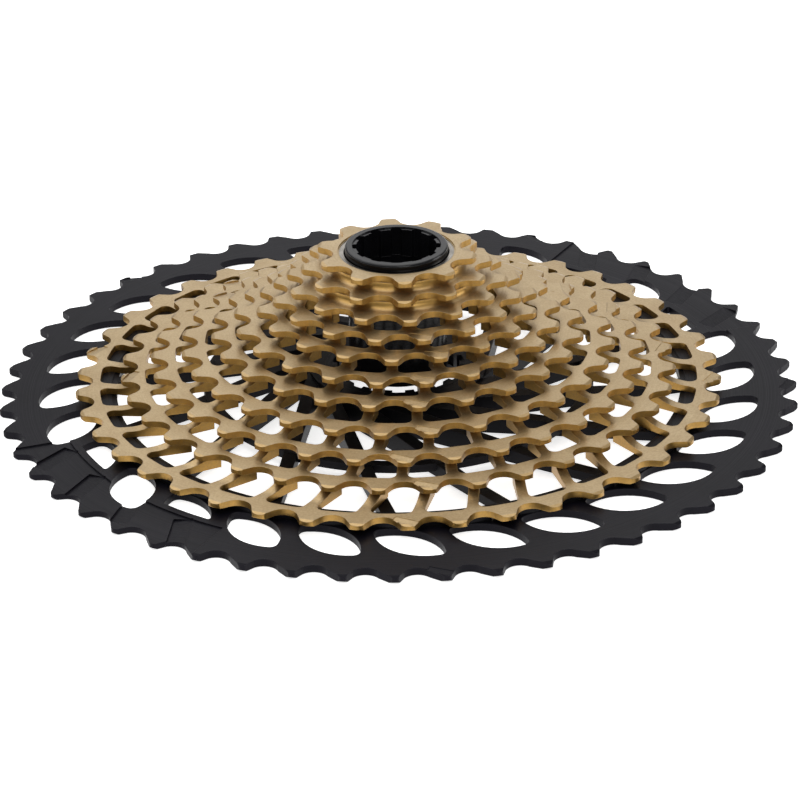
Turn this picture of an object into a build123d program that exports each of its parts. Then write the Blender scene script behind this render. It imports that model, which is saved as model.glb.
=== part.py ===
from build123d import *

import os
from math import asin, cos, degrees, hypot, pi, radians, sin, sqrt

# A twelve-speed wide-range bicycle cassette, lying on its back. The axis is Z and points
# from the big sprocket, which faces the hub flange, to the smallest. The origin is on the
# axis, in the plane of the back face. Lengths are millimetres and angles are degrees.

# Chain and tooth form
CHAIN_PITCH = 12.7
ROLLER_DIAMETER = 0.61 * CHAIN_PITCH
TOOTH_HEIGHT = 0.7  # tooth tip above the pitch circle
TIP_WIDTH = 3.4
TIP_CROWN = 0.5  # how far the tip bows out between its shoulders
TIP_LAND = 1.05  # thickness that is left at a tooth's tip
TIP_THINNING = 0.9  # radial length of the bevel that thins the tip
TURNING_ALLOWANCE = 0.5  # the blank is this much larger than the tips cut from it
VALLEY_HALF_ANGLE = 62.0  # how far the roller seat wraps up each flank

# Stack of sprockets, from the back to the front
FIRST_SPACING = 3.2  # from the big sprocket to the 42-tooth one
RING_SPACING = 3.6
RING_THICKNESS = 1.7
BIG_RING_THICKNESS = 2.0
RING_WEB = 1.9  # metal between the tooth valleys and the windows

# Teeth of each sprocket, and the angle of one tooth gap, from X towards Y
SPROCKETS = (
    (52, 355.2),
    (42, 267.0),
    (36, 270.8),
    (32, 265.4),
    (28, 271.7),
    (24, 268.5),
    (21, 271.0),
    (18, 277.4),
    (16, 270.8),
    (14, 263.7),
    (12, 259.4),
    (10, 257.7),
)
BIG, FIRST_GOLD, LAST_OPEN = 0, 1, 8  # places in the stack: 52, 42 and 16 teeth

# Risers: the wall that carries the next smaller sprocket, cut through by windows
RISER_WALL = 2.6
RISER_LEDGE = 0.6  # how far the riser stands out past the tooth valleys it carries
RISER_FOOT = 0.55  # share of the tread that the riser's hollow foot may take up
FOOT_MARGIN = 1.0
ARM_WIDTH = 2.7
WINDOW_CORNER = 2.0
WINDOW_OVERLAP = 1.5  # how far a window's cutter reaches in past the riser
ARM_LEAN = {42: 20.0, 36: 8.0, 32: 8.0, 28: 6.0}  # sideways lean of the arms

# Shift ramps: shallow cuts that help the chain climb
RAMP_LENGTH = 8.0
RAMP_WIDTH = 2.4
RAMP_DEPTH = 0.25
RAMP_TILT = 28.0
RAMP_ROLL = 6.0
TEETH_PER_RAMP = 9

# Driver hub: the splined sleeve that slides on the freehub driver body
DRIVER_BORE = 17.0
DRIVER_HUB_OUTER = DRIVER_BORE + 2.3
DRIVER_HUB_HEIGHT = 8.2
DRIVER_SPLINE_COUNT = 18
DRIVER_SPLINE_DEPTH = 0.8
DRIVER_SPLINE_WIDTH = 2.4
DRIVER_SPLINE_RELIEF = 0.5  # the splined part of the bore is this much wider
DRIVER_PILOT_LENGTH = 3.0  # plain round land at the back of the bore

# Carrier: hub ring, spokes, brace ring and rim under the sprockets
CARRIER_HUB_OUTER = DRIVER_HUB_OUTER + 4.2
SPOKE_COUNT = 16
SPOKE_FIRST = 194.2  # direction of the foot of one spoke's centre line
SPOKE_OFFSET = CARRIER_HUB_OUTER - 2.2  # distance of a spoke's centre line from the axis
SPOKE_WIDTH = 3.6
SPOKE_BOTTOM = 0.7
SPOKE_HEADROOM = 0.3  # clearance under the 42-tooth sprocket
SPOKE_ROOT_STEP = 0.8  # the spokes' roots are this much lower than the hub
SPOKE_FLAT_SHARE = 0.78  # a spoke's top slopes down over this share of its length
BRACE_RING_INNER = 49.1
BRACE_RING_OUTER = 51.8
BRACE_RING_BOTTOM = 2.2
BRACE_RING_TOP = 4.4
RIM_LIP = 1.4  # wall inside the big sprocket that the spokes end in
RIM_FIT = 0.02
RIM_REACH = 3.0  # the rims reach this far in past the 42-tooth sprocket's windows
RIM_SETBACK = 0.2  # the carrier's rim lies this far in from the tooth valleys

# Pins that fix the rims of the big sprocket, the carrier and the 42-tooth sprocket together
PIN_COUNT = 14
PIN_RADIUS = 0.9
PIN_END_GAP = 0.3


def pitch_radius(teeth):
    return CHAIN_PITCH / 2 / sin(pi / teeth)


def root_radius(teeth):
    return pitch_radius(teeth) - ROLLER_DIAMETER / 2


def tip_radius(teeth):
    return pitch_radius(teeth) + TOOTH_HEIGHT


def ring_top(place):
    if place == BIG:
        return BIG_RING_THICKNESS
    return BIG_RING_THICKNESS + FIRST_SPACING + RING_SPACING * (place - FIRST_GOLD)


def ring_bottom(place):
    return ring_top(place) - (BIG_RING_THICKNESS if place == BIG else RING_THICKNESS)


def window_edge(place):
    """Radius where the windows end, beside the tooth valleys of the ring at this place."""
    return root_radius(SPROCKETS[place][0]) - RING_WEB


# Big sprocket: everything is laid out in the band between its valleys and the 42-tooth ones
BIG_BAND = root_radius(SPROCKETS[BIG][0]) - root_radius(SPROCKETS[FIRST_GOLD][0])
BIG_RIM_INNER = window_edge(FIRST_GOLD) - RIM_REACH
CARRIER_RIM_OUTER = root_radius(SPROCKETS[FIRST_GOLD][0]) - RIM_SETBACK
BIG_TIP_WIDTH = 2.0
BIG_VALLEY_HALF_ANGLE = 52.0
BIG_TOOTH_LEAN = 0.5  # degrees that its tips lean over
LEAF_COUNT = 28
LEAF_FIRST = 1.4
LEAF_RADIUS = root_radius(SPROCKETS[FIRST_GOLD][0]) + 0.35 * BIG_BAND
LEAF_LENGTH = 1.07 * BIG_BAND
LEAF_WIDTH = 0.58 * BIG_BAND
LEAF_TILT = 36.0
LEAF_CORNER = 2.0
SHORT_LEAVES = (2, 4, 16, 18)  # windows beside the shift zones, closed at their outer end
SHORT_LEAF_REACH = LEAF_RADIUS + 0.4
SHORT_LEAF_CORNER = 0.6
SHIFT_ZONES = (40.0, 220.0)  # middles of the recessed zones
SHIFT_ZONE_SPAN = 42.0
SHIFT_ZONE_INNER = LEAF_RADIUS + 2.4
SHIFT_ZONE_DEPTH = 0.4
ZONE_RAMP_COUNT = 4  # slanted steps across each shift zone
ZONE_RAMP_LENGTH = 13.0
ZONE_RAMP_WIDTH = 5.0
ZONE_RAMP_DEPTH = 0.3
ZONE_RAMP_TILT = 28.0
PIN_CIRCLE = window_edge(FIRST_GOLD) + RING_WEB / 2
PIN_FIRST = LEAF_FIRST + 2.3  # in the web between two leaf windows

# Lock tube and what holds it in the small end
TUBE_RADIUS = root_radius(SPROCKETS[-1][0]) - 3.7
TUBE_HEAD_RADIUS = TUBE_RADIUS + 0.6
TUBE_FLANGE_RADIUS = TUBE_RADIUS + 1.8
TUBE_FLANGE_THICKNESS = 1.5
TUBE_END = 7.6
TUBE_PROUD = 1.5
TUBE_HEAD_ROUNDING = 0.6
TUBE_BORE = TUBE_RADIUS - 1.3
THREAD_RADIUS = TUBE_RADIUS - 1.7
THREAD_LENGTH = 9.0
TOOL_MAJOR = TUBE_RADIUS - 1.35
TOOL_MINOR = TOOL_MAJOR - 1.0
TOOL_NOTCHES = 12
TOOL_NOTCH_RADIUS = 1.45
TOOL_LEAD_IN = 0.35  # the tool splines start this far down inside the head
TOOL_DEPTH = 8.0
FRONT_BORE = TUBE_FLANGE_RADIUS + 0.3
MOUTH_STEP = 0.3  # small counterbore at the face of the smallest sprocket
RUNNING_FIT = 0.1
AXIAL_PLAY = 0.1
SNAP_RING_THICKNESS = 1.0
SNAP_RING_INNER = TUBE_HEAD_RADIUS + 0.3
SNAP_RING_OUTER = FRONT_BORE + 0.4
SNAP_RING_FIT = 0.05
SNAP_RING_GAP = 3.0  # width of the opening between its ends
FACE_LIP = 0.4  # metal between the small sprocket's face and the snap ring
WASHER_THICKNESS = 0.7
WASHER_FIT = 0.05
BUSHING_WALL = 1.0
SEAL_LENGTH = 1.3
SEAL_SETBACK = 0.2


def polar(radius, angle):
    return Vector(radius * cos(radians(angle)), radius * sin(radians(angle)), 0)


def spin(solid, count):
    """Copies of a solid, spaced evenly about the axis."""
    return [Rot(0, 0, 360 / count * k) * solid for k in range(count)]


def tube(inner, outer, low, high):
    """A plain ring between two radii and two heights."""
    ring = Circle(outer) - Circle(inner)
    return extrude(Pos(0, 0, low) * ring, amount=high - low)


def rod(radius, low, high):
    """A plain round bar between two heights."""
    return extrude(Pos(0, 0, low) * Circle(radius), amount=high - low)


def tooth_outline(place):
    """The toothed outline: a roller seat, a flank, a crowned tip and a flank for each tooth.
    The big sprocket's teeth are more pointed and lean over."""
    teeth, gap_angle = SPROCKETS[place]
    tip_width, wrap, lean = TIP_WIDTH, VALLEY_HALF_ANGLE, 0.0
    if place == BIG:
        tip_width, wrap, lean = BIG_TIP_WIDTH, BIG_VALLEY_HALF_ANGLE, BIG_TOOTH_LEAN
    pitch, tip = pitch_radius(teeth), tip_radius(teeth)
    shoulder = tip - TIP_CROWN
    seat = ROLLER_DIAMETER / 2
    tip_half = degrees(asin(tip_width / 2 / shoulder))
    edges = []
    for k in range(teeth):
        gap = gap_angle + 360 / teeth * k
        centre = polar(pitch, gap)
        inward = gap + 180
        first = centre + polar(seat, inward + wrap)
        last = centre + polar(seat, inward - wrap)
        tooth = gap + 180 / teeth + lean
        rise = polar(shoulder, tooth - tip_half)
        fall = polar(shoulder, tooth + tip_half)
        next_gap = gap + 360 / teeth
        landing = polar(pitch, next_gap) + polar(seat, next_gap + 180 + wrap)
        edges.append(ThreePointArc(first, centre + polar(seat, inward), last))
        edges.append(Line(last, rise))
        edges.append(ThreePointArc(rise, polar(tip, tooth), fall))
        edges.append(Line(fall, landing))
    return make_face(edges)


def turned_ring(place, inner_edges):
    """A ring turned to its section, with its teeth cut. inner_edges run from the ring's
    top face inwards and back along its bottom face."""
    teeth = SPROCKETS[place][0]
    top, bottom, tip = ring_top(place), ring_bottom(place), tip_radius(teeth) + TURNING_ALLOWANCE
    shoulder = tip_radius(teeth) - TIP_THINNING
    bevel = (top - bottom - TIP_LAND) / 2 * (tip - shoulder) / TIP_THINNING
    start, end = inner_edges[0] @ 0, inner_edges[-1] @ 1
    section = inner_edges + [
        Polyline(
            end,
            (shoulder, 0, bottom),
            (tip, 0, bottom + bevel),
            (tip, 0, top - bevel),
            (shoulder, 0, top),
            start,
        )
    ]
    blank = revolve(make_face(section), Axis.Z, 360)
    height = blank.bounding_box().max.Z - bottom
    return blank & extrude(Pos(0, 0, bottom) * tooth_outline(place), amount=height)


def riser_outer(place):
    """Outer radius of the riser that stands on the ring at this place."""
    return root_radius(SPROCKETS[place + 1][0]) + RISER_LEDGE


def riser_edges(place, inner):
    """Section of the riser: a hollow curve from the tread up to the seat of the next
    sprocket, and its inner side."""
    top, bottom, seat = ring_top(place), ring_bottom(place), ring_bottom(place + 1)
    outer = riser_outer(place)
    run = max(seat - top + AXIAL_PLAY, RISER_FOOT * (window_edge(place) - outer) + FOOT_MARGIN)
    foot = (outer + run, 0, top)
    hollow = TangentArc(foot, (outer, 0, seat), tangent=(-1, 0, 0))
    inside = Polyline((outer, 0, seat), (inner, 0, seat), (inner, 0, bottom), (outer + run, 0, bottom))
    return [hollow, inside]


def line_on_circle(point, direction, radius):
    """Where a line that runs outwards from a point meets a circle about the axis."""
    along = point.dot(direction)
    return point + direction * (-along + sqrt(along**2 - point.length**2 + radius**2))


def window(place):
    """One window's cutter: between two arms, round-cornered at the ring and open inside."""
    teeth = SPROCKETS[place][0]
    carried, gap = SPROCKETS[place + 1]
    lean = ARM_LEAN.get(teeth, 0.0)
    near = riser_outer(place) - RISER_WALL - WINDOW_OVERLAP
    far = window_edge(place)
    ends = []
    for side in (-1, 1):
        arm = gap + side * 180 / carried
        direction = polar(1, arm - lean)
        edge = polar(riser_outer(place) - RISER_WALL / 2, arm)
        edge += polar(ARM_WIDTH / 2, arm - lean - side * 90)
        ends.append((line_on_circle(edge, direction, near), line_on_circle(edge, direction, far)))
    (low_in, low_out), (high_in, high_out) = ends
    middle = low_out + high_out
    bow = middle * (far / middle.length)
    outline = make_face(
        [
            Line(low_in, low_out),
            ThreePointArc(low_out, bow, high_out),
            Line(high_out, high_in),
            Line(high_in, low_in),
        ]
    )
    corners = outline.vertices().sort_by(lambda v: hypot(v.X, v.Y))[-2:]
    outline = fillet(corners, WINDOW_CORNER)
    bottom = ring_bottom(place) - 1
    return extrude(Pos(0, 0, bottom) * outline, amount=ring_bottom(place + 1) + 1 - bottom)


def shift_ramps(place):
    """Shallow slanted cuts in a ring's top face, from its tread to a tooth gap."""
    teeth, gap = SPROCKETS[place]
    count = max(2, teeth // TEETH_PER_RAMP)
    stride = teeth // count
    ramps = []
    for k in range(count):
        angle = gap + 360 / teeth * (k * stride + 0.5)
        blank = Box(RAMP_LENGTH, RAMP_WIDTH, 2 * RAMP_DEPTH)
        lie = Pos(*polar(root_radius(teeth) + RAMP_WIDTH, angle)) * Rot(0, 0, angle + 90 - RAMP_TILT)
        ramps.append(Pos(0, 0, ring_top(place)) * lie * Rot(RAMP_ROLL, 0, 0) * blank)
    return ramps


def open_sprocket(place):
    """A sprocket whose riser is cut into arms, one for each tooth of the next sprocket."""
    inner = riser_outer(place) - RISER_WALL
    ring = turned_ring(place, riser_edges(place, inner))
    ring -= spin(window(place), SPROCKETS[place + 1][0])
    return ring - shift_ramps(place)


def closed_sprocket(place, bore):
    """A sprocket with a closed riser: the small end is too narrow for windows."""
    return turned_ring(place, riser_edges(place, bore))


# Heights in the small end, from the face down
SMALLEST = len(SPROCKETS) - 1
RING_GROOVE_TOP = ring_top(SMALLEST) - FACE_LIP
FLANGE_TOP = RING_GROOVE_TOP - SNAP_RING_THICKNESS - 3 * AXIAL_PLAY
FLANGE_BOTTOM = FLANGE_TOP - TUBE_FLANGE_THICKNESS
WASHER_TOP = FLANGE_BOTTOM - AXIAL_PLAY
LEDGE = WASHER_TOP - WASHER_THICKNESS
BUSHING_INNER = TUBE_RADIUS + RUNNING_FIT
BUSHING_OUTER = BUSHING_INNER + BUSHING_WALL
SEAL_BOTTOM = ring_bottom(SMALLEST - 2) + SEAL_SETBACK


def front_bore_cut():
    """Everything that is bored out of the three smallest sprockets, as one stepped plug."""
    bore = rod(FRONT_BORE, LEDGE, ring_top(SMALLEST) + 1)
    groove_low = RING_GROOVE_TOP - SNAP_RING_THICKNESS - AXIAL_PLAY
    bore += tube(FRONT_BORE - 1, SNAP_RING_OUTER + SNAP_RING_FIT, groove_low, RING_GROOVE_TOP)
    bore += rod(BUSHING_OUTER, ring_bottom(SMALLEST - 2) - 1, LEDGE)
    return bore + rod(FRONT_BORE + MOUTH_STEP, ring_top(SMALLEST) - MOUTH_STEP, ring_top(SMALLEST) + 1)


def sprocket_14():
    return closed_sprocket(SMALLEST - 2, BUSHING_OUTER - 1) - front_bore_cut()


def sprocket_12():
    return closed_sprocket(SMALLEST - 1, BUSHING_OUTER - 1) - front_bore_cut()


def sprocket_10():
    top, bottom, inner = ring_top(SMALLEST), ring_bottom(SMALLEST), BUSHING_OUTER - 1
    edges = [Polyline((inner + 1, 0, top), (inner, 0, top), (inner, 0, bottom), (inner + 1, 0, bottom))]
    return turned_ring(SMALLEST, edges) - front_bore_cut()


def leaf_window(short):
    """A lens-shaped opening with rounded points, laid along a tilted axis. A short one ends
    where the shift zone begins."""
    half, sag = LEAF_LENGTH / 2, LEAF_WIDTH / 2
    lens = make_face(
        [
            ThreePointArc((-half, 0, 0), (0, sag, 0), (half, 0, 0)),
            ThreePointArc((half, 0, 0), (0, -sag, 0), (-half, 0, 0)),
        ]
    )
    lens = fillet(lens.vertices(), LEAF_CORNER)
    placed = Pos(LEAF_RADIUS, 0, 0) * Rot(0, 0, 90 - LEAF_TILT) * lens
    if short:
        placed &= Circle(SHORT_LEAF_REACH)
        placed = fillet(placed.vertices().sort_by(Axis.X)[-2:], SHORT_LEAF_CORNER)
    return extrude(Pos(0, 0, -1) * placed, amount=BIG_RING_THICKNESS + 2)


def leaf_windows():
    full, short = leaf_window(False), leaf_window(True)
    turned = []
    for k in range(LEAF_COUNT):
        leaf = short if k in SHORT_LEAVES else full
        turned.append(Rot(0, 0, LEAF_FIRST + 360 / LEAF_COUNT * k) * leaf)
    return turned


def shift_zone(middle):
    """A shallow recess in the big sprocket's face, running out through its teeth."""
    outer = tip_radius(SPROCKETS[BIG][0]) + 1
    start, end = middle - SHIFT_ZONE_SPAN / 2, middle + SHIFT_ZONE_SPAN / 2
    sector = make_face(
        [
            ThreePointArc(
                polar(SHIFT_ZONE_INNER, start), polar(SHIFT_ZONE_INNER, middle), polar(SHIFT_ZONE_INNER, end)
            ),
            Line(polar(SHIFT_ZONE_INNER, end), polar(outer, end)),
            ThreePointArc(polar(outer, end), polar(outer, middle), polar(outer, start)),
            Line(polar(outer, start), polar(SHIFT_ZONE_INNER, start)),
        ]
    )
    return extrude(Pos(0, 0, BIG_RING_THICKNESS - SHIFT_ZONE_DEPTH) * sector, amount=1)


def zone_ramps(middle):
    """Slanted steps that cross a shift zone, deepest towards the teeth."""
    blank = Box(ZONE_RAMP_LENGTH, ZONE_RAMP_WIDTH, 2 * ZONE_RAMP_DEPTH)
    radius = SHIFT_ZONE_INNER + ZONE_RAMP_LENGTH / 2
    floor = BIG_RING_THICKNESS - SHIFT_ZONE_DEPTH
    ramps = []
    for k in range(ZONE_RAMP_COUNT):
        angle = middle + SHIFT_ZONE_SPAN * ((k + 0.5) / ZONE_RAMP_COUNT - 0.5)
        lie = Pos(*polar(radius, angle)) * Rot(0, 0, angle + ZONE_RAMP_TILT) * Rot(RAMP_ROLL, 0, 0)
        ramps.append(Pos(0, 0, floor) * lie * blank)
    return ramps


PIN_LOW = PIN_END_GAP
PIN_HIGH = ring_top(FIRST_GOLD) - PIN_END_GAP


def pins():
    """The pins, which are also the cutters for their holes."""
    return spin(Pos(*polar(PIN_CIRCLE, PIN_FIRST)) * rod(PIN_RADIUS, PIN_LOW, PIN_HIGH), PIN_COUNT)


def sprocket_52():
    top, inner = ring_top(BIG), BIG_RIM_INNER
    edges = [Polyline((inner + 1, 0, top), (inner, 0, top), (inner, 0, 0), (inner + 1, 0, 0))]
    ring = turned_ring(BIG, edges) - leaf_windows()
    for middle in SHIFT_ZONES:
        ring -= [shift_zone(middle), *zone_ramps(middle)]
    return ring - shift_ramps(BIG) - pins()


def sprocket_42():
    return open_sprocket(FIRST_GOLD) - pins()


SPOKE_TIP_HEIGHT = ring_bottom(FIRST_GOLD) - SPOKE_HEADROOM
SPOKE_ROOT_HEIGHT = DRIVER_HUB_HEIGHT - SPOKE_ROOT_STEP


def brace_ring():
    return tube(BRACE_RING_INNER, BRACE_RING_OUTER, BRACE_RING_BOTTOM, BRACE_RING_TOP)


def carrier_hub():
    return tube(DRIVER_HUB_OUTER, CARRIER_HUB_OUTER, 0, DRIVER_HUB_HEIGHT)


def carrier_rim():
    """The ring between the big sprocket and the 42-tooth one, and the lip below it that
    the spokes end in."""
    lip_inner = BIG_RIM_INNER - RIM_LIP
    rim = tube(BIG_RIM_INNER, CARRIER_RIM_OUTER, ring_top(BIG), ring_bottom(FIRST_GOLD))
    lip = tube(lip_inner, BIG_RIM_INNER - RIM_FIT, SPOKE_BOTTOM, SPOKE_TIP_HEIGHT)
    bridge = tube(lip_inner, BIG_RIM_INNER + 1, ring_top(BIG), SPOKE_TIP_HEIGHT)
    return rim + [lip, bridge] - pins()


def spoke():
    """A straight bar, deepest at the hub, whose centre line passes beside the axis. It is
    notched for the brace ring."""
    reach = BIG_RIM_INNER
    side = make_face(
        Polyline(
            (0, 0, SPOKE_BOTTOM),
            (reach, 0, SPOKE_BOTTOM),
            (reach, 0, SPOKE_TIP_HEIGHT),
            (reach * SPOKE_FLAT_SHARE, 0, SPOKE_TIP_HEIGHT),
            (SPOKE_OFFSET / 2, 0, SPOKE_ROOT_HEIGHT),
            (0, 0, SPOKE_ROOT_HEIGHT),
            (0, 0, SPOKE_BOTTOM),
        )
    )
    bar = Pos(0, -SPOKE_OFFSET, 0) * extrude(side, amount=SPOKE_WIDTH / 2, both=True)
    bar &= tube(CARRIER_HUB_OUTER, BIG_RIM_INNER - RIM_LIP, 0, DRIVER_HUB_HEIGHT)
    return Rot(0, 0, SPOKE_FIRST + 90) * (bar - brace_ring())


def driver_hub():
    land = tube(DRIVER_BORE, DRIVER_HUB_OUTER, 0, DRIVER_PILOT_LENGTH)
    root = DRIVER_BORE + DRIVER_SPLINE_RELIEF
    sleeve = tube(root, DRIVER_HUB_OUTER, DRIVER_PILOT_LENGTH, DRIVER_HUB_HEIGHT)
    depth = DRIVER_SPLINE_DEPTH + DRIVER_SPLINE_RELIEF
    key = Pos(root, 0, DRIVER_PILOT_LENGTH) * Box(
        2 * depth,
        DRIVER_SPLINE_WIDTH,
        DRIVER_HUB_HEIGHT - DRIVER_PILOT_LENGTH,
        align=(Align.CENTER, Align.CENTER, Align.MIN),
    )
    keys = [cut & rod(DRIVER_HUB_OUTER, 0, DRIVER_HUB_HEIGHT) for cut in spin(key, DRIVER_SPLINE_COUNT)]
    return land + [sleeve] + keys


def lock_tube():
    """The threaded tube that clamps the cassette to its driver, with its tool splines."""
    head_top = ring_top(SMALLEST) + TUBE_PROUD
    thread_top = TUBE_END + THREAD_LENGTH
    tool_low, tool_high = head_top - TOOL_DEPTH, head_top - TOOL_LEAD_IN
    body = tube(THREAD_RADIUS, TUBE_RADIUS, TUBE_END, thread_top)
    body += tube(TUBE_BORE, TUBE_RADIUS, thread_top, tool_low)
    body += tube(TOOL_MINOR, TUBE_RADIUS, tool_low, FLANGE_BOTTOM)
    body += tube(TOOL_MINOR, TUBE_FLANGE_RADIUS, FLANGE_BOTTOM, FLANGE_TOP)
    body += tube(TOOL_MINOR, TUBE_HEAD_RADIUS, FLANGE_TOP, tool_high)
    body += tube(TOOL_MAJOR, TUBE_HEAD_RADIUS, tool_high, head_top)
    rim = body.edges().filter_by(GeomType.CIRCLE).group_by(Axis.Z)[-1].sort_by(SortBy.RADIUS)[-1]
    body = fillet(rim, TUBE_HEAD_ROUNDING)
    notch = Pos(TOOL_MINOR, 0, 0) * rod(TOOL_NOTCH_RADIUS, tool_low - 1, head_top + 1)
    return body - [cut & rod(TOOL_MAJOR, 0, head_top) for cut in spin(notch, TOOL_NOTCHES)]


def snap_ring():
    top = RING_GROOVE_TOP - AXIAL_PLAY / 2
    ring = tube(SNAP_RING_INNER, SNAP_RING_OUTER, top - SNAP_RING_THICKNESS, top)
    opening = Pos(0, SNAP_RING_INNER, top) * Box(SNAP_RING_GAP, 8, 4)
    return ring - opening


def thrust_washer():
    return tube(BUSHING_INNER + WASHER_FIT, FRONT_BORE - WASHER_FIT, LEDGE, WASHER_TOP)


def tube_bushing():
    return tube(BUSHING_INNER, BUSHING_OUTER, SEAL_BOTTOM + SEAL_LENGTH, LEDGE)


def tube_seal():
    return tube(BUSHING_INNER, BUSHING_OUTER, SEAL_BOTTOM, SEAL_BOTTOM + SEAL_LENGTH)


def grouped(solids):
    """Identical pieces that share one node, each its own solid."""
    return Compound(children=[solid for shape in solids for solid in shape.solids()])


parts = {
    "sprocket_52t": sprocket_52(),
    "carrier_rim": carrier_rim(),
    "carrier_spokes": grouped(spin(spoke(), SPOKE_COUNT)),
    "brace_ring": brace_ring(),
    "carrier_hub": carrier_hub(),
    "driver_hub": driver_hub(),
    "carrier_pins": grouped(pins()),
    "sprocket_42t": sprocket_42(),
}
for place in range(FIRST_GOLD + 1, LAST_OPEN + 1):
    parts[f"sprocket_{SPROCKETS[place][0]}t"] = open_sprocket(place)
parts["sprocket_14t"] = sprocket_14()
parts["sprocket_12t"] = sprocket_12()
parts["sprocket_10t"] = sprocket_10()
parts["tube_bushing"] = tube_bushing()
parts["tube_seal"] = tube_seal()
parts["thrust_washer"] = thrust_washer()
parts["snap_ring"] = snap_ring()
parts["lock_tube"] = lock_tube()

os.makedirs("parts", exist_ok=True)
for name, shape in parts.items():
    export_step(shape, f"parts/{name}.step")
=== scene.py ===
import bpy
import math
from mathutils import Matrix, Vector


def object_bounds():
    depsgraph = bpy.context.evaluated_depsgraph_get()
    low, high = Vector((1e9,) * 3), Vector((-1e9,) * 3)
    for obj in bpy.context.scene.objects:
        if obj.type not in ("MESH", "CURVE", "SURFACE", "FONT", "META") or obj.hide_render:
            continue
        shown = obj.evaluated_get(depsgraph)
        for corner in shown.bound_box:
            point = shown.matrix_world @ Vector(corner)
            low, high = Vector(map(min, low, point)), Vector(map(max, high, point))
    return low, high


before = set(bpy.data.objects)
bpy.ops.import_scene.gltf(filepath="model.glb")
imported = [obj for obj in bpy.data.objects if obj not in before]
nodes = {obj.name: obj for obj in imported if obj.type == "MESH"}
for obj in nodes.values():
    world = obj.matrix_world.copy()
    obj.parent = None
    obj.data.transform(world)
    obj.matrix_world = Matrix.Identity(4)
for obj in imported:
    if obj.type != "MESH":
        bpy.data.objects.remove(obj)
cad_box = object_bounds()

# ---------------------------------------------------------------------------------------
# The carrier and the splined hub sleeve. Aluminium, turned and milled, then anodised matt
# black. It slides on the freehub and holds the big sprocket at its rim.
# ---------------------------------------------------------------------------------------


def start_finish(name, colour, metallic, roughness):
    """A new material, its node tree and its surface shader, with the plain values set."""
    material = bpy.data.materials.new(name)
    material.use_nodes = True
    tree = material.node_tree
    surface = tree.nodes["Principled BSDF"]
    surface.inputs["Base Color"].default_value = (*colour, 1)
    surface.inputs["Metallic"].default_value = metallic
    surface.inputs["Roughness"].default_value = roughness
    return material, tree, surface


def add(tree, kind, **settings):
    """A node of this kind, with its own settings."""
    node = tree.nodes.new(kind)
    for key, value in settings.items():
        setattr(node, key, value)
    return node


def math_node(tree, operation, first, second=None, third=None):
    """A sum of one, two or three inputs, each a number or another node's output."""
    node = add(tree, "ShaderNodeMath", operation=operation)
    for socket, value in zip(node.inputs, (first, second, third)):
        if value is None:
            continue
        if isinstance(value, (int, float)):
            socket.default_value = value
        else:
            tree.links.new(value, socket)
    return node.outputs[0]


def distance_from_axis(tree):
    """How far a point lies from the cassette's axis, in metres, and its height."""
    place = add(tree, "ShaderNodeTexCoord").outputs["Object"]
    split = add(tree, "ShaderNodeSeparateXYZ")
    tree.links.new(place, split.inputs[0])
    square_x = math_node(tree, "MULTIPLY", split.outputs["X"], split.outputs["X"])
    square_y = math_node(tree, "MULTIPLY", split.outputs["Y"], split.outputs["Y"])
    return math_node(tree, "SQRT", math_node(tree, "ADD", square_x, square_y)), split.outputs["Z"]


def turning_marks(tree, pitch):
    """Fine grooves that a lathe tool leaves: uneven waves that run out from the axis."""
    radius, height = distance_from_axis(tree)
    lathe = add(tree, "ShaderNodeCombineXYZ")
    tree.links.new(radius, lathe.inputs["X"])
    tree.links.new(height, lathe.inputs["Y"])
    grooves = add(tree, "ShaderNodeTexNoise", noise_dimensions="2D")
    grooves.inputs["Scale"].default_value = 1 / pitch
    grooves.inputs["Detail"].default_value = 3
    tree.links.new(lathe.outputs[0], grooves.inputs["Vector"])
    return grooves.outputs["Fac"]


def cloud(tree, size, detail=4):
    """Slow uneven patches of about this size, in metres."""
    place = add(tree, "ShaderNodeTexCoord").outputs["Object"]
    patches = add(tree, "ShaderNodeTexNoise")
    patches.inputs["Scale"].default_value = 1 / size
    patches.inputs["Detail"].default_value = detail
    tree.links.new(place, patches.inputs["Vector"])
    return patches.outputs["Fac"]


def sharp_edge_mask(tree, width):
    """One along the sharp edges of the piece and nought on its faces."""
    rounded = add(tree, "ShaderNodeBevel", samples=4)
    rounded.inputs["Radius"].default_value = width
    flat = add(tree, "ShaderNodeNewGeometry")
    dot = add(tree, "ShaderNodeVectorMath", operation="DOT_PRODUCT")
    tree.links.new(rounded.outputs[0], dot.inputs[0])
    tree.links.new(flat.outputs["Normal"], dot.inputs[1])
    bend = add(tree, "ShaderNodeMapRange")
    bend.inputs["From Min"].default_value = 0.98
    bend.inputs["From Max"].default_value = 0.8
    tree.links.new(dot.outputs["Value"], bend.inputs["Value"])
    return bend.outputs[0]


def mix_colour(tree, amount, first, second):
    """A colour between two, each three numbers or another node's output."""
    mix = add(tree, "ShaderNodeMix", data_type="RGBA")
    tree.links.new(amount, mix.inputs["Factor"])
    ends = [socket for socket in mix.inputs if socket.type == "RGBA"]
    for socket, value in zip(ends, (first, second)):
        if isinstance(value, tuple):
            socket.default_value = (*value, 1)
        else:
            tree.links.new(value, socket)
    return [socket for socket in mix.outputs if socket.type == "RGBA"][0]


def spread(tree, value, low, high):
    """A noise value, which mostly lies from 0.3 to 0.7, laid out between two new ends."""
    lay = add(tree, "ShaderNodeMapRange")
    lay.inputs["From Min"].default_value = 0.3
    lay.inputs["From Max"].default_value = 0.7
    lay.inputs["To Min"].default_value = low
    lay.inputs["To Max"].default_value = high
    tree.links.new(value, lay.inputs["Value"])
    return lay.outputs[0]


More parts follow.
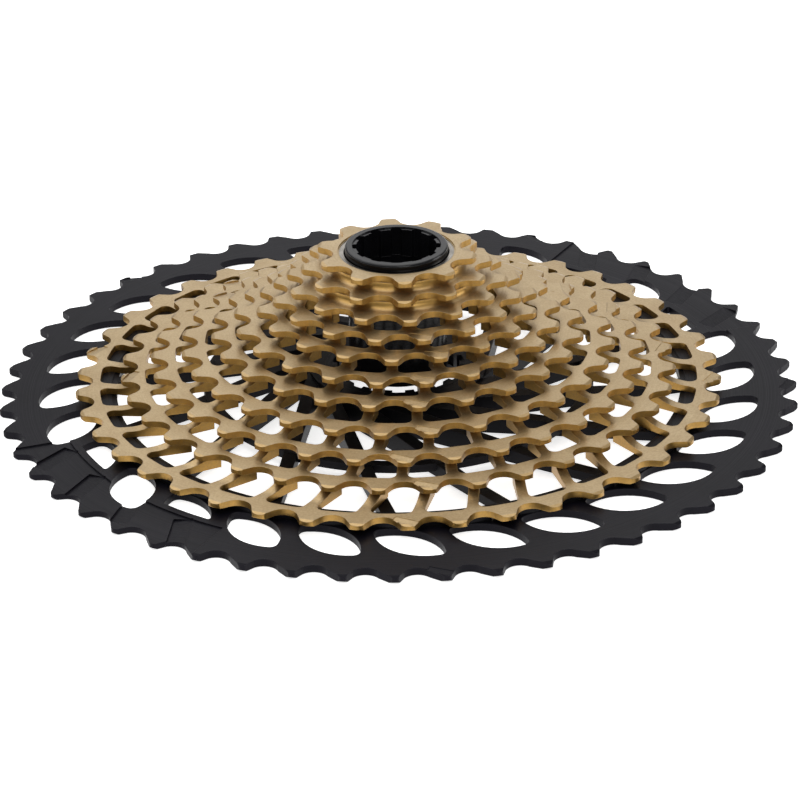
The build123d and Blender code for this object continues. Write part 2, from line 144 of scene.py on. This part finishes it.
def raise_surface(tree, surface, height, depth, edge_width):
    """Bumps of this depth in metres, on top of edges that are just rounded."""
    rounded = add(tree, "ShaderNodeBevel", samples=4)
    rounded.inputs["Radius"].default_value = edge_width
    bump = add(tree, "ShaderNodeBump")
    bump.inputs["Strength"].default_value = 1
    bump.inputs["Distance"].default_value = depth
    tree.links.new(height, bump.inputs["Height"])
    tree.links.new(rounded.outputs[0], bump.inputs["Normal"])
    tree.links.new(bump.outputs[0], surface.inputs["Normal"])


def give(name, material):
    """Puts a material in every slot of a CAD piece."""
    piece = nodes[name]
    for place in piece.material_slots:
        place.material = material


def black_anodising(name, dark, grey, bare, gloss):
    """A black dyed oxide layer over turned aluminium, with its edges rubbed a little."""
    material, tree, surface = start_finish(name, dark, 0.0, 0.5)
    marks = turning_marks(tree, 0.00022)
    patches = cloud(tree, 0.012)
    body = mix_colour(tree, spread(tree, patches, 0, 1), dark, grey)
    edge = math_node(tree, "MULTIPLY", sharp_edge_mask(tree, 0.0003), 0.5)
    tree.links.new(mix_colour(tree, edge, body, bare), surface.inputs["Base Color"])
    tree.links.new(spread(tree, marks, 0.36, 0.5), surface.inputs["Roughness"])
    surface.inputs["Specular IOR Level"].default_value = gloss
    surface.inputs["Specular Tint"].default_value = (0.92, 0.89, 1.0, 1)
    raise_surface(tree, surface, marks, 0.000012, 0.0002)
    return material


carrier_black = black_anodising(
    "carrier_black", (0.003, 0.003, 0.0035), (0.006, 0.006, 0.007), (0.03, 0.03, 0.032), 0.12
)
for name in ("carrier_rim", "carrier_spokes", "brace_ring", "carrier_hub", "driver_hub"):
    give(name, carrier_black)

# ---------------------------------------------------------------------------------------
# The 52-tooth sprocket. Aluminium plate, milled, with leaf windows and recessed shift
# zones, anodised matt black and pinned to the carrier's rim.
# ---------------------------------------------------------------------------------------
plate_black = black_anodising(
    "plate_black", (0.0022, 0.002, 0.0036), (0.0042, 0.0038, 0.0065), (0.034, 0.033, 0.04), 0.12
)
give("sprocket_52t", plate_black)

# ---------------------------------------------------------------------------------------
# The pins that hold the rims together, the washer that lies under the lock tube's flange and
# the snap ring that sits in a groove at the tube's head. Plain turned steel.
# ---------------------------------------------------------------------------------------


def turned_steel():
    material, tree, surface = start_finish("turned_steel", (0.28, 0.26, 0.23), 1.0, 0.3)
    marks = turning_marks(tree, 0.00015)
    patches = cloud(tree, 0.004)
    tree.links.new(
        mix_colour(tree, spread(tree, patches, 0, 1), (0.2, 0.185, 0.165), (0.36, 0.335, 0.3)),
        surface.inputs["Base Color"],
    )
    tree.links.new(spread(tree, marks, 0.2, 0.38), surface.inputs["Roughness"])
    raise_surface(tree, surface, marks, 0.000008, 0.0001)
    return material


steel = turned_steel()
give("carrier_pins", steel)
give("thrust_washer", steel)
give("snap_ring", steel)

# ---------------------------------------------------------------------------------------
# The gold sprockets, 42 to 10 teeth. Turned and milled from hard steel, then given a thin
# gold-coloured hard coating, satin over the fine marks of the lathe.
# ---------------------------------------------------------------------------------------


def flat_face_vs_shaded_wall(tree):
    """One on the flat faces the lathe cut, nought on the walls and hollows between them, where
    the gold is given its painted shade colour.
    """
    face = add(tree, "ShaderNodeNewGeometry")
    split = add(tree, "ShaderNodeSeparateXYZ")
    tree.links.new(face.outputs["Normal"], split.inputs[0])
    return math_node(tree, "POWER", math_node(tree, "ABSOLUTE", split.outputs["Z"]), 6)


def gold_coating():
    flat, patch = (0.49, 0.37, 0.205), (0.41, 0.295, 0.15)
    # The wall colour is painted shade: a darker, deeper gold that stands in for shade and
    # gold-to-gold reflections on walls and hollows.
    painted_shade_wall, shade, rubbed_and_highlit_edge = (0.46, 0.26, 0.055), (0.26, 0.165, 0.06), (0.7, 0.56, 0.32)
    material, tree, surface = start_finish("gold_coating", flat, 0.92, 0.4)
    marks = turning_marks(tree, 0.00025)
    grain = cloud(tree, 0.0005, 2)
    patches = cloud(tree, 0.009)
    face = mix_colour(tree, spread(tree, patches, 0, 1), flat, patch)
    # Painted shade: faces that tilt away from upright take the darker wall gold, flat faces keep
    # the plain gold.
    body = mix_colour(tree, flat_face_vs_shaded_wall(tree), painted_shade_wall, face)
    body = mix_colour(tree, spread(tree, grain, 0, 0.45), body, shade)
    # Lighter gold along the sharp edges: partly rubbed coating, partly a painted edge highlight.
    edge = math_node(tree, "MULTIPLY", sharp_edge_mask(tree, 0.0002), 0.25)
    tree.links.new(mix_colour(tree, edge, body, rubbed_and_highlit_edge), surface.inputs["Base Color"])
    tree.links.new(spread(tree, marks, 0.32, 0.46), surface.inputs["Roughness"])
    surface.inputs["Coat Weight"].default_value = 0.35
    surface.inputs["Coat Roughness"].default_value = 0.35
    raise_surface(tree, surface, math_node(tree, "ADD", marks, grain), 0.000015, 0.0002)
    return material


gold = gold_coating()
for teeth in (42, 36, 32, 28, 24, 21, 18, 16, 14, 12, 10):
    give(f"sprocket_{teeth}t", gold)

# ---------------------------------------------------------------------------------------
# The plain bearing and the seal that the lock tube turns in. A bronze bush, pressed in,
# with a moulded rubber ring below it.
# ---------------------------------------------------------------------------------------


def bearing_bronze():
    material, tree, surface = start_finish("bearing_bronze", (0.5, 0.3, 0.13), 1.0, 0.35)
    marks = turning_marks(tree, 0.0002)
    patches = cloud(tree, 0.003)
    tree.links.new(
        mix_colour(tree, spread(tree, patches, 0, 1), (0.42, 0.24, 0.1), (0.58, 0.37, 0.17)),
        surface.inputs["Base Color"],
    )
    tree.links.new(spread(tree, marks, 0.28, 0.45), surface.inputs["Roughness"])
    raise_surface(tree, surface, marks, 0.000008, 0.0001)
    return material


def seal_rubber():
    material, tree, surface = start_finish("seal_rubber", (0.02, 0.02, 0.02), 0.0, 0.7)
    grain = cloud(tree, 0.0004)
    tree.links.new(
        mix_colour(tree, spread(tree, grain, 0, 1), (0.014, 0.014, 0.014), (0.03, 0.03, 0.031)),
        surface.inputs["Base Color"],
    )
    raise_surface(tree, surface, grain, 0.00002, 0.0002)
    return material


give("tube_bushing", bearing_bronze())
give("tube_seal", seal_rubber())

# ---------------------------------------------------------------------------------------
# The lock tube. Aluminium bar, turned, threaded inside at the back and splined inside at
# the front for its tool, and anodised gloss black.
# ---------------------------------------------------------------------------------------


def gloss_black_anodising():
    dark, grey, bare = (0.003, 0.003, 0.0036), (0.006, 0.006, 0.0072), (0.06, 0.06, 0.068)
    material, tree, surface = start_finish("gloss_black_anodising", dark, 0.0, 0.18)
    marks = turning_marks(tree, 0.0003)
    patches = cloud(tree, 0.006)
    body = mix_colour(tree, spread(tree, patches, 0, 1), dark, grey)
    edge = math_node(tree, "MULTIPLY", sharp_edge_mask(tree, 0.00015), 0.3)
    tree.links.new(mix_colour(tree, edge, body, bare), surface.inputs["Base Color"])
    tree.links.new(spread(tree, marks, 0.13, 0.24), surface.inputs["Roughness"])
    surface.inputs["Specular IOR Level"].default_value = 0.3
    raise_surface(tree, surface, marks, 0.000006, 0.00025)
    return material


give("lock_tube", gloss_black_anodising())

# ---------------------------------------------------------------------------------------
# The white paper it lies on, lit a little from within as on a light table, four soft lamps
# and the studio's own light around it, and the camera in front.
# ---------------------------------------------------------------------------------------
TABLE_SIZE = 8
TABLE_DROP = 0.0002  # keeps the paper clear of the back face
PAPER_GLOW = 0.75
STUDIO_LIGHT = 0.28
bpy.ops.object.select_all(action="DESELECT")
bpy.ops.mesh.primitive_plane_add(size=TABLE_SIZE, location=(0, 0, cad_box[0][2] - TABLE_DROP))
table = bpy.context.object
table.name = "table_top"
paper, paper_tree, paper_surface = start_finish("white_paper", (0.9, 0.9, 0.9), 0.0, 0.9)
fleck = cloud(paper_tree, 0.03)
paper_tree.links.new(
    mix_colour(paper_tree, fleck, (0.89, 0.89, 0.89), (0.91, 0.91, 0.91)),
    paper_surface.inputs["Base Color"],
)
paper_surface.inputs["Emission Color"].default_value = (1, 1, 1, 1)
paper_surface.inputs["Emission Strength"].default_value = PAPER_GLOW
table.data.materials.append(paper)

world = bpy.data.worlds.new("studio")
bpy.context.scene.world = world
world.use_nodes = True
world.node_tree.nodes["Background"].inputs["Color"].default_value = (1, 1, 1, 1)
world.node_tree.nodes["Background"].inputs["Strength"].default_value = STUDIO_LIGHT


def softbox(name, place, target, size, power):
    """A square lamp panel that faces a point. Places and sizes are in metres, power in watts."""
    bpy.ops.object.light_add(type="AREA", location=place)
    lamp = bpy.context.object
    lamp.name = name
    lamp.data.shape = "SQUARE"
    lamp.data.size = size
    lamp.data.energy = power
    lamp.rotation_euler = (Vector(target) - Vector(place)).to_track_quat("-Z", "Y").to_euler()
    lamp.visible_camera = False


DOME_MIDDLE = (0, 0, 0.02)
BIG_SPROCKET_MIDDLE = (0, 0, 0.01)
softbox("key_light", (-0.35, 0.25, 1.1), DOME_MIDDLE, 1.7, 14)
softbox("back_light", (0.05, 0.62, 0.34), BIG_SPROCKET_MIDDLE, 0.45, 0.55)
softbox("front_light", (0.3, -0.9, 0.8), DOME_MIDDLE, 0.5, 3)
softbox("side_light", (0.95, 0.2, 0.45), DOME_MIDDLE, 0.4, 2.5)

TILT = math.radians(26.13)  # how far the camera looks down
ROLL = math.radians(-0.86)
DISTANCE = 1.0013
SENSOR_WIDTH = 36
FOCAL_LENGTH = 169.1
SHIFT_RIGHT, SHIFT_UP = 0.00175, -0.011
NEAR_CLIP = 0.01
camera_data = bpy.data.cameras.new("camera")
camera = bpy.data.objects.new("camera", camera_data)
bpy.context.scene.collection.objects.link(camera)
right = Vector((1, 0, 0))
up = Vector((0, math.sin(TILT), math.cos(TILT)))
away = Vector((0, -math.cos(TILT), math.sin(TILT)))
turned_right = math.cos(ROLL) * right + math.sin(ROLL) * up
turned_up = -math.sin(ROLL) * right + math.cos(ROLL) * up
facing = Matrix((turned_right, turned_up, away)).transposed().to_4x4()
camera.matrix_world = Matrix.Translation(away * DISTANCE) @ facing
camera_data.sensor_width = SENSOR_WIDTH
camera_data.lens = FOCAL_LENGTH
camera_data.shift_x = SHIFT_RIGHT
camera_data.shift_y = SHIFT_UP
camera_data.clip_start = NEAR_CLIP
bpy.context.scene.camera = camera
bpy.context.scene.view_settings.view_transform = "Standard"
